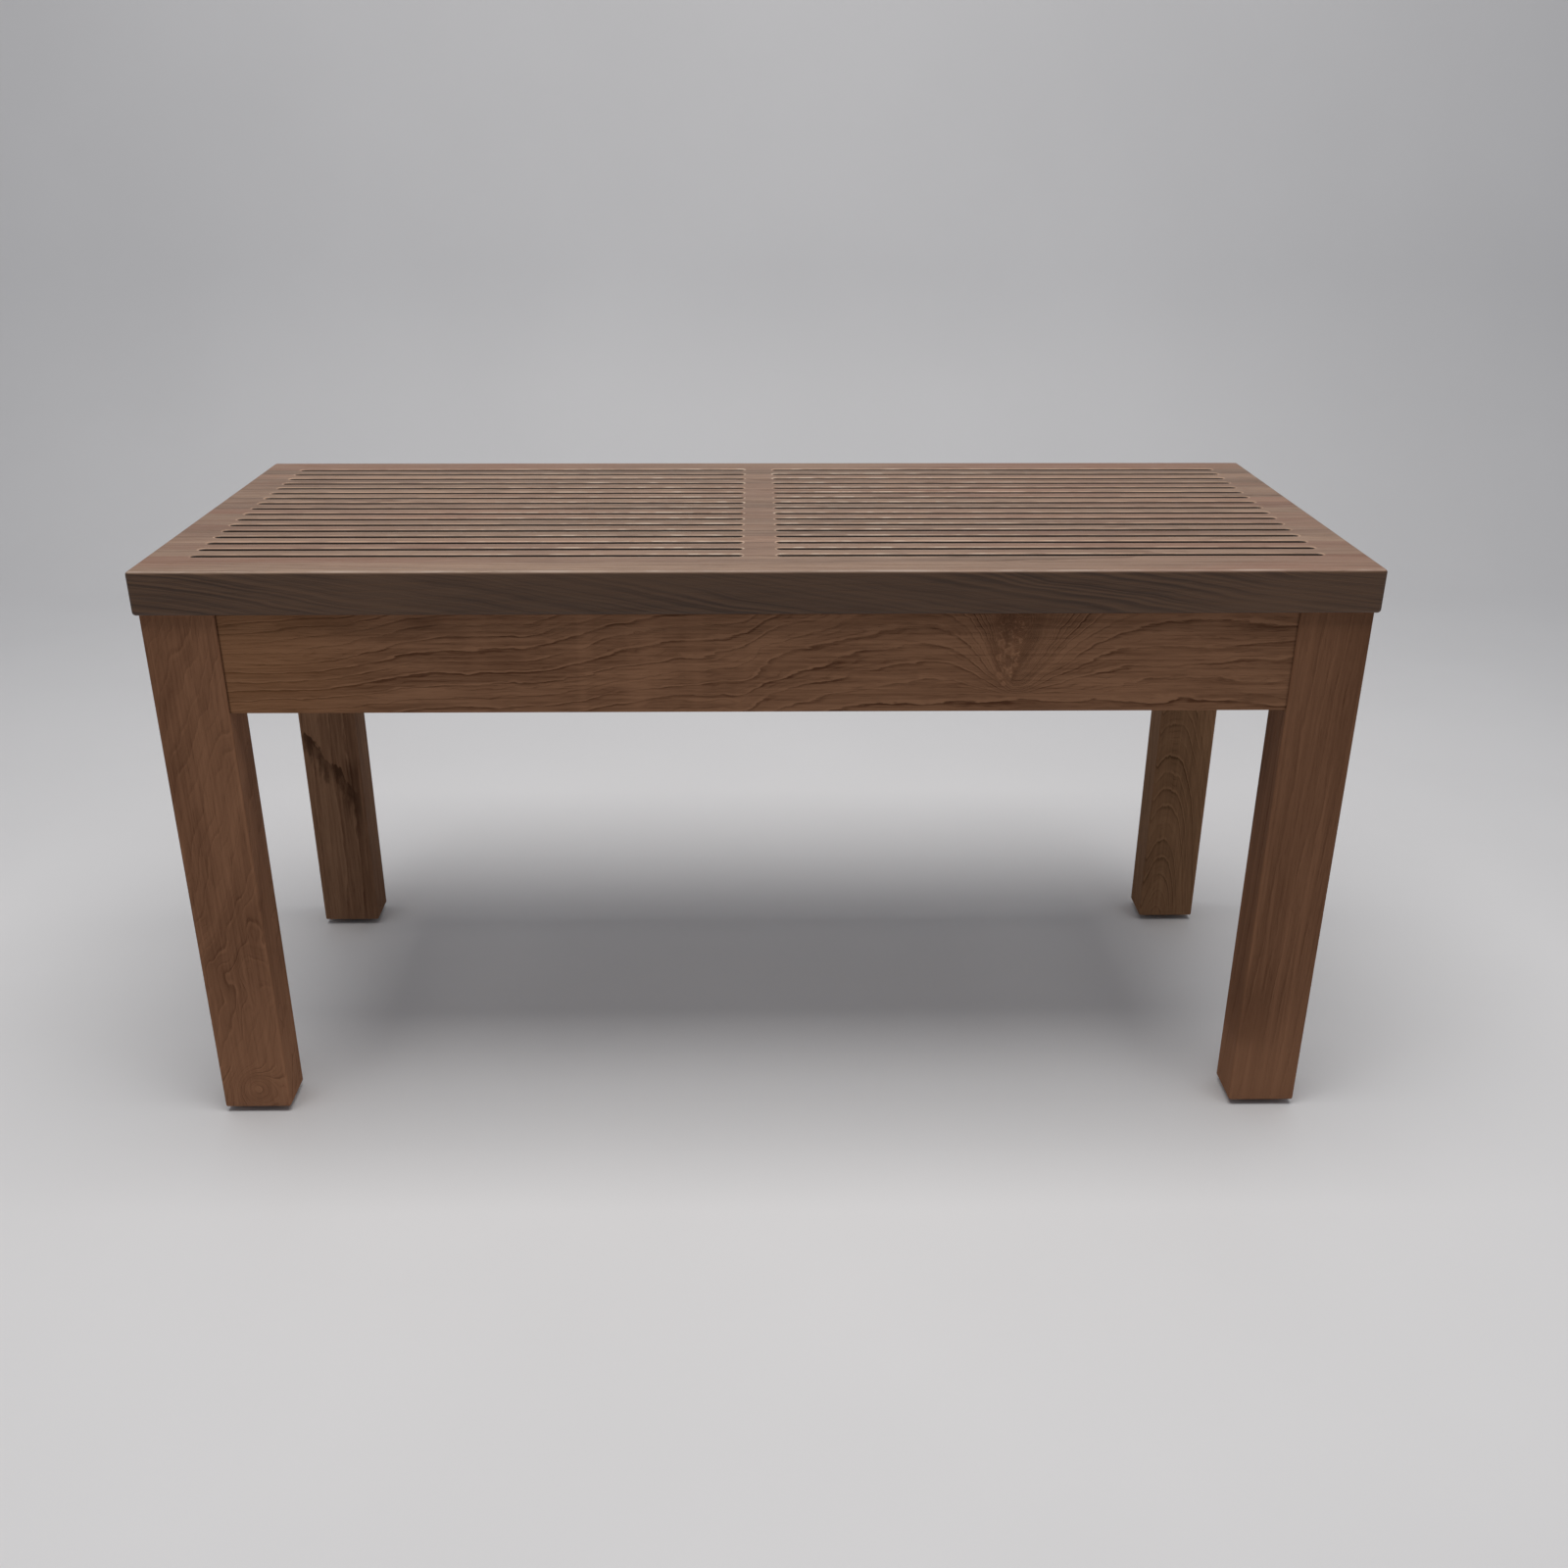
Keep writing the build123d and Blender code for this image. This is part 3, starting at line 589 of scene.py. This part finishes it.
def extrude(rise):
    bpy.ops.mesh.extrude_region_move(TRANSFORM_OT_translate={"value": (0.0, 0.0, rise)})


def settle(piece):
    """Put the piece's place, turn and size into its mesh, and select only it."""
    only(piece)
    bpy.ops.object.transform_apply(location=True, rotation=True, scale=True)
    return piece


def pick(piece, kind, test):
    """Select in edit mode the faces (centre, normal) or edges (two ends) that pass the test."""
    bpy.ops.object.mode_set(mode="EDIT")
    bpy.ops.mesh.select_mode(type=kind)
    bpy.ops.mesh.select_all(action="DESELECT")
    bpy.ops.object.mode_set(mode="OBJECT")
    mesh = piece.data
    if kind == "FACE":
        for face in mesh.polygons:
            face.select = test(face.center, face.normal)
    else:
        for edge in mesh.edges:
            edge.select = test(*(mesh.vertices[v].co for v in edge.vertices))
    bpy.ops.object.mode_set(mode="EDIT")


def leave_edit(smooth_degrees=35.0):
    bpy.ops.object.mode_set(mode="OBJECT")
    bpy.ops.object.shade_smooth_by_angle(angle=math.radians(smooth_degrees))


def dress(piece, finish, body, slot_name, *nodes):
    """Give a new piece its finish and body, and let it stand for its CAD nodes; slot_name is not used."""
    coat(piece.data, finish)
    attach(piece, body)
    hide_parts(*nodes)


print("modelling helpers ready")

# %% [markdown]
# ## Metal and plastic
# Zinc plating is a mottled grey with fine scratches, brass a warm metal that dulls in patches, and
# the glides are moulded plastic with a fine grained skin and a few scuffs from the floor.

# %% Finishes of the fittings
def fitting_finish(name, main, other, metallic, rough_low, rough_high, cell, relief):
    finish = bpy.data.materials.new(name)
    finish.use_nodes = True
    tree = finish.node_tree
    shader = tree.nodes["Principled BSDF"]
    shader.inputs["Metallic"].default_value = metallic
    spot = add_node(tree, "ShaderNodeTexCoord").outputs["Object"]
    patches = add_node(tree, "ShaderNodeTexNoise", {"Vector": spot, "Scale": cell, "Detail": 4.0}).outputs[0]
    scratches = stretched_noise(tree, spot, (cell * 9.0, cell * 9.0, cell * 1.5), detail=3.0,
                                roughness=0.65).outputs[0]
    amount = calc(tree, "ADD", ramp_between(tree, patches, 0.35, 0.65, 0.0, 0.7),
                  calc(tree, "MULTIPLY", scratches, 0.3))
    feeds = {0: amount, 6: (*main, 1.0), 7: (*other, 1.0)}
    feed(tree, shader.inputs["Base Color"], add_node(tree, "ShaderNodeMix", feeds, data_type="RGBA").outputs[2])
    feed(tree, shader.inputs["Roughness"], ramp_between(tree, scratches, 0.3, 0.7, rough_low, rough_high))
    feeds = {"Strength": 0.6, "Distance": relief, "Height": scratches}
    feed(tree, shader.inputs["Normal"], add_node(tree, "ShaderNodeBump", feeds).outputs[0])
    return finish


zinc = fitting_finish("zinc_steel", (0.62, 0.63, 0.62), (0.40, 0.41, 0.42), 1.0, 0.28, 0.5, 260.0, 0.00006)
brass = fitting_finish("turned_brass", (0.68, 0.50, 0.22), (0.42, 0.28, 0.11), 1.0, 0.25, 0.45, 240.0, 0.00005)
plastic = fitting_finish("moulded_plastic", (0.028, 0.025, 0.023), (0.06, 0.053, 0.047), 0.0, 0.45, 0.65, 420.0,
                         0.00008)
for node_name, finish in (("top_clips", zinc), ("leg_inserts", brass)):
    coat(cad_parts[node_name].data, finish)
print("fitting finishes", zinc.name, brass.name, plastic.name)

# %% [markdown]
# ## Glides
# Each glide is a round plastic foot moulded round the flat head of a threaded steel stem. The foot
# has a rounded tread, a fluted rim for the fingers and a hollow underneath, so it stands on a ring.
# It starts as a cylinder. The stem's thread is a small triangle swept up a helix by the Screw
# modifier, with a pitch of 1.25 mm, round a plain core.

# %% Glide foot
corners = ["front_left", "front_right", "rear_left", "rear_right"]
stem_low, stem_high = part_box("glide_stem_front_left")
head_radius, head_bottom, stem_top = (stem_high.x - stem_low.x) / 2, stem_low.z, stem_high.z
thread_pitch, thread_radius, core_radius, head_height = 0.00125, 0.004, 0.0034, 0.0015
tread_round, top_round, flute_depth, top_wall, hair = 0.0012, 0.0004, 0.0006, 0.0004, 1e-5
flute_spacing, flute_width = 30.0, 10.0


def build_glide_foot(corner):
    low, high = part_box("glide_pad_" + corner)
    middle = (low + high) / 2
    radius = (high.x - low.x) / 2
    bpy.ops.object.select_all(action="DESELECT")
    bpy.ops.mesh.primitive_cylinder_add(vertices=72, radius=radius, depth=high.z - low.z, location=middle)
    foot = settle(bpy.context.object)
    foot.name = "glide_foot_" + corner
    pick(foot, "EDGE", lambda a, b: max(a.z, b.z) < low.z + hair)
    bpy.ops.mesh.bevel(offset=tread_round, segments=4, affect="EDGES")
    pick(foot, "EDGE", lambda a, b: min(a.z, b.z) > high.z - hair)
    bpy.ops.mesh.bevel(offset=top_round, segments=2, affect="EDGES")

    def is_flute(centre, normal):
        turn = math.degrees(math.atan2(centre.y - middle.y, centre.x - middle.x)) % flute_spacing
        return abs(normal.z) < 0.05 and turn < flute_width

    pick(foot, "FACE", is_flute)
    bpy.ops.mesh.inset(thickness=0.0003, depth=0.0)
    bpy.ops.transform.shrink_fatten(value=-flute_depth)
    pick(foot, "FACE", lambda centre, normal: normal.z > 0.99 and centre.z > high.z - hair)
    bpy.ops.mesh.inset(thickness=radius - top_wall - head_radius, depth=0.0)
    extrude(head_bottom - high.z)
    pick(foot, "FACE", lambda centre, normal: normal.z < -0.99 and centre.z < low.z + hair)
    bpy.ops.mesh.inset(thickness=0.0022, depth=0.0)
    extrude(0.0008)
    bpy.ops.mesh.inset(thickness=0.0030, depth=0.0)
    extrude(-0.0005)
    leave_edit()
    dress(foot, plastic, "glide_" + corner, "glide_plastic", "glide_pad_" + corner)
    return foot


feet = [build_glide_foot(corner) for corner in corners]
print("glide feet", [len(foot.data.polygons) for foot in feet], "faces each")

# %% Threaded stem
bpy.ops.object.select_all(action="DESELECT")
tooth, thread_start, thread_turns, tip_chamfer = 0.00062, head_bottom + 0.0030, 20, 0.0008
bpy.ops.mesh.primitive_circle_add(vertices=3, radius=tooth, fill_type="NOTHING",
                                  rotation=(math.pi / 2, math.pi / 2, 0.0),
                                  location=(thread_radius - tooth * 0.75, 0.0, thread_start))
thread = settle(bpy.context.object)
bpy.ops.object.mode_set(mode="EDIT")
bpy.ops.mesh.select_all(action="SELECT")
bpy.ops.transform.resize(value=(0.75, 1.0, 1.0), center_override=(thread_radius, 0.0, thread_start))
bpy.ops.object.mode_set(mode="OBJECT")
over = max(v.co.x for v in thread.data.vertices) - thread_radius
bpy.ops.object.mode_set(mode="EDIT")
bpy.ops.transform.translate(value=(-over, 0.0, 0.0))
bpy.ops.object.mode_set(mode="OBJECT")
sweep = thread.modifiers.new("helix", "SCREW")
sweep.axis, sweep.angle, sweep.screw_offset = "Z", math.tau, thread_pitch
sweep.iterations, sweep.steps, sweep.render_steps = thread_turns, 24, 24
bpy.ops.object.modifier_apply(modifier=sweep.name)
bpy.ops.object.mode_set(mode="EDIT")
bpy.ops.mesh.select_all(action="SELECT")
bpy.ops.mesh.fill_holes(sides=4)
bpy.ops.mesh.select_all(action="SELECT")
bpy.ops.mesh.normals_make_consistent(inside=False)
bpy.ops.object.mode_set(mode="OBJECT")
bpy.ops.object.select_all(action="DESELECT")
bpy.ops.mesh.primitive_cylinder_add(vertices=48, radius=head_radius, depth=head_height,
                                    location=(0.0, 0.0, head_bottom + head_height / 2))
core = settle(bpy.context.object)
pick(core, "FACE", lambda centre, normal: normal.z > 0.99)
bpy.ops.mesh.inset(thickness=head_radius - core_radius, depth=0.0)
extrude(stem_top - head_bottom - head_height - tip_chamfer)
extrude(tip_chamfer)
bpy.ops.transform.resize(value=(0.75, 0.75, 1.0), center_override=(0.0, 0.0, stem_top))
head_ends = head_radius - hair
pick(core, "EDGE", lambda a, b: min(a.xy.length, b.xy.length) > head_ends and abs(a.z - b.z) < 1e-6)
bpy.ops.mesh.bevel(offset=0.0002, segments=2, affect="EDGES")
bpy.ops.object.mode_set(mode="OBJECT")
only(core, thread)
bpy.ops.object.join()
leave_edit(30.0)
core.name = "glide_thread_pattern"
stems = []
for corner in corners:
    low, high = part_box("glide_stem_" + corner)
    stem = copy_of(core)
    stem.location = ((low.x + high.x) / 2, (low.y + high.y) / 2, 0.0)
    settle(stem)
    stem.name = "glide_thread_" + corner
    dress(stem, zinc, "glide_" + corner, "zinc_steel", "glide_stem_" + corner)
    stems.append(stem)
bpy.data.objects.remove(core)
print("threaded stems", len(stems), "triangles each", sum(len(f.vertices) - 2 for f in stems[0].data.polygons))

# %% [markdown]
# ## Screws
# All the screws are countersunk with a cross recess. One is turned from a circle by extruding its
# face down and pinching it, the cross is cut by a Boolean, and the rest are copies of it at the
# places of the frame's own screws, which are found by taking a copy of that node apart.

# %% Build one screw
screw_head_radius, cross_length, cross_width, cross_depth = 0.00395, 0.0040, 0.0009, 0.0024


def build_screw(length):
    """A countersunk screw, its head's face at Z = 0 and its point towards -Z."""
    bpy.ops.object.select_all(action="DESELECT")
    bpy.ops.mesh.primitive_circle_add(vertices=32, radius=screw_head_radius, fill_type="NGON",
                                      location=(0.0, 0.0, 0.0))
    screw = settle(bpy.context.object)
    bpy.ops.object.mode_set(mode="EDIT")
    bpy.ops.mesh.select_all(action="SELECT")
    for drop, pinch in ((0.0003, 1.0), (0.0017, 0.5), (length - 0.006, 0.92), (0.004, 0.12)):
        extrude(-drop)
        bpy.ops.transform.resize(value=(pinch, pinch, 1.0), center_override=(0.0, 0.0, 0.0))
    bpy.ops.mesh.select_all(action="SELECT")
    bpy.ops.mesh.normals_make_consistent(inside=False)
    bpy.ops.object.mode_set(mode="OBJECT")
    for wide, deep in ((cross_length, cross_width), (cross_width, cross_length)):
        bpy.ops.object.select_all(action="DESELECT")
        bpy.ops.mesh.primitive_cube_add(size=1.0, scale=(wide, deep, cross_depth), location=(0.0, 0.0, 0.0))
        cutter = settle(bpy.context.object)
        cut = screw.modifiers.new("recess", "BOOLEAN")
        cut.operation, cut.object, cut.solver = "DIFFERENCE", cutter, "EXACT"
        settle(screw)
        bpy.ops.object.modifier_apply(modifier=cut.name)
        bpy.data.objects.remove(cutter)
    settle(screw)
    leave_edit(40.0)
    return screw


def screw_places(node_name):
    """Middle, lowest and highest point of each loose screw of a node."""
    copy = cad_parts[node_name].copy()
    copy.data = copy.data.copy()
    copy.parent = None
    bpy.context.scene.collection.objects.link(copy)
    only(copy)
    bpy.ops.object.mode_set(mode="EDIT")
    bpy.ops.mesh.select_all(action="SELECT")
    bpy.ops.mesh.remove_doubles(threshold=1e-6)
    bpy.ops.mesh.separate(type="LOOSE")
    bpy.ops.object.mode_set(mode="OBJECT")
    places = []
    for part in list(bpy.context.selected_objects):
        points = [v.co for v in part.data.vertices]
        low, high = (Vector([pick_end(p[i] for p in points) for i in range(3)]) for pick_end in (min, max))
        head_up = sum(1 for p in points if p.z > high.z - hair) > sum(1 for p in points if p.z < low.z + hair)
        places.append(((low + high) / 2, low.z, high.z, head_up))
        bpy.data.objects.remove(part)
    return sorted(places, key=lambda place: tuple(round(v, 4) for v in place[0]))


# %% Copy the screws to their places
def place_screws(node_name, piece_name):
    places = screw_places(node_name)
    pattern = build_screw(places[0][2] - places[0][1])
    copies = []
    for middle, lowest, highest, head_up in places:
        screw = copy_of(pattern)
        screw.rotation_euler = (0.0 if head_up else math.pi, 0.0, middle.y * 40.0)
        screw.location = (middle.x, middle.y, highest if head_up else lowest)
        copies.append(settle(screw))
    bpy.data.objects.remove(pattern)
    only(*copies)
    bpy.ops.object.join()
    joined = settle(bpy.context.object)
    joined.name = piece_name
    dress(joined, zinc, "bench", "zinc_steel", node_name)
    print(piece_name, len(places), "screws, heads up", sum(p[3] for p in places))


place_screws("clip_screws", "cross_head_clip_screws")
place_screws("rail_screws", "cross_head_rail_screws")

# %% [markdown]
# ## Floor, light and camera
# The room is a plain pale floor that curves up into a plain wall well behind the bench, so that the
# camera can also look from behind. One large soft light hangs overhead and a little in front.

# %% Floor and sweep
floor_back, wall_height, sweep_radius = 1.9, 3.2, 0.5


def sweep_finish(name, colour):
    finish = bpy.data.materials.new(name)
    finish.use_nodes = True
    tree = finish.node_tree
    shader = tree.nodes["Principled BSDF"]
    spot = add_node(tree, "ShaderNodeTexCoord").outputs["Object"]
    cloudy = add_node(tree, "ShaderNodeTexNoise", {"Vector": spot, "Scale": 2.2, "Detail": 5.0}).outputs[0]
    tone = ramp_between(tree, cloudy, 0.3, 0.7, 0.0, 1.0)
    shade = add_node(tree, "ShaderNodeMix", {0: tone}, data_type="RGBA")
    feed(tree, shade.inputs[6], (*toned(colour, 0.985), 1.0))
    feed(tree, shade.inputs[7], (*toned(colour, 1.015), 1.0))
    feed(tree, shader.inputs["Base Color"], shade.outputs[2])
    shader.inputs["Roughness"].default_value = 0.6
    return finish


bpy.ops.object.select_all(action="DESELECT")
bpy.ops.mesh.primitive_plane_add(size=1.0, location=(0.0, 0.0, 0.0))
floor = bpy.context.object
floor.name = "floor"
bpy.ops.object.mode_set(mode="EDIT")
bpy.ops.transform.resize(value=(12.0, 7.9, 1.0))
bpy.ops.transform.translate(value=(0.0, -2.05, 0.0))
bpy.ops.mesh.select_all(action="DESELECT")
bpy.ops.object.mode_set(mode="OBJECT")
for edge in floor.data.edges:
    ends = [floor.data.vertices[v].co for v in edge.vertices]
    edge.select = all(abs(p.y - floor_back) < 0.01 for p in ends)
bpy.ops.object.mode_set(mode="EDIT")
bpy.ops.mesh.select_mode(type="EDGE")
extrude(wall_height)
bpy.ops.object.mode_set(mode="OBJECT")
for edge in floor.data.edges:
    ends = [floor.data.vertices[v].co for v in edge.vertices]
    edge.select = all(abs(p.y - floor_back) < 0.01 and abs(p.z) < 0.01 for p in ends)
bpy.ops.object.mode_set(mode="EDIT")
bpy.ops.mesh.bevel(offset=sweep_radius, segments=24, affect="EDGES")
bpy.ops.object.mode_set(mode="OBJECT")
bpy.ops.object.shade_smooth()
floor.data.materials.append(sweep_finish("pale_floor", (0.74, 0.745, 0.765)))
print("floor", [round(v, 3) for v in floor.dimensions])

# %% Light
scene = bpy.context.scene
scene.view_settings.view_transform = "Standard"
sky = bpy.data.worlds.new("soft_sky")
scene.world = sky
sky.use_nodes = True
sky.node_tree.nodes["Background"].inputs["Color"].default_value = (0.90, 0.93, 1.0, 1.0)
sky.node_tree.nodes["Background"].inputs["Strength"].default_value = 0.2


def soft_light(name, place, aim, width, depth, power, colour):
    bpy.ops.object.light_add(type="AREA", location=place)
    lamp = bpy.context.object
    lamp.name = name
    lamp.data.shape = "RECTANGLE"
    lamp.data.size, lamp.data.size_y = width, depth
    lamp.data.energy = power
    lamp.data.color = colour
    lamp.rotation_euler = (Vector(aim) - Vector(place)).to_track_quat("-Z", "Y").to_euler()
    return lamp


soft_light("overhead", (0.0, -0.35, 2.5), (0.0, 0.0, 0.2), 2.2, 1.6, 52.0, (1.0, 0.97, 0.93))

# %% Camera
lens_mm, shift_right, shift_up = 36.72, 0.0019, 0.0771
camera_place = (-0.0036, -1.3254, 0.7447)
turn, tip, roll = math.radians(-0.971), math.radians(90.0 - 26.131), math.radians(0.137)
bpy.ops.object.camera_add(location=camera_place)
camera = bpy.context.object
camera.matrix_world = (Matrix.Translation(camera_place) @ Matrix.Rotation(turn, 4, "Z")
                       @ Matrix.Rotation(tip, 4, "X") @ Matrix.Rotation(roll, 4, "Z"))
camera.data.sensor_width = 36.0
camera.data.lens = lens_mm
camera.data.shift_x, camera.data.shift_y = shift_right, shift_up
scene.camera = camera
print("camera at", [round(v, 3) for v in camera_place], "lens", lens_mm)
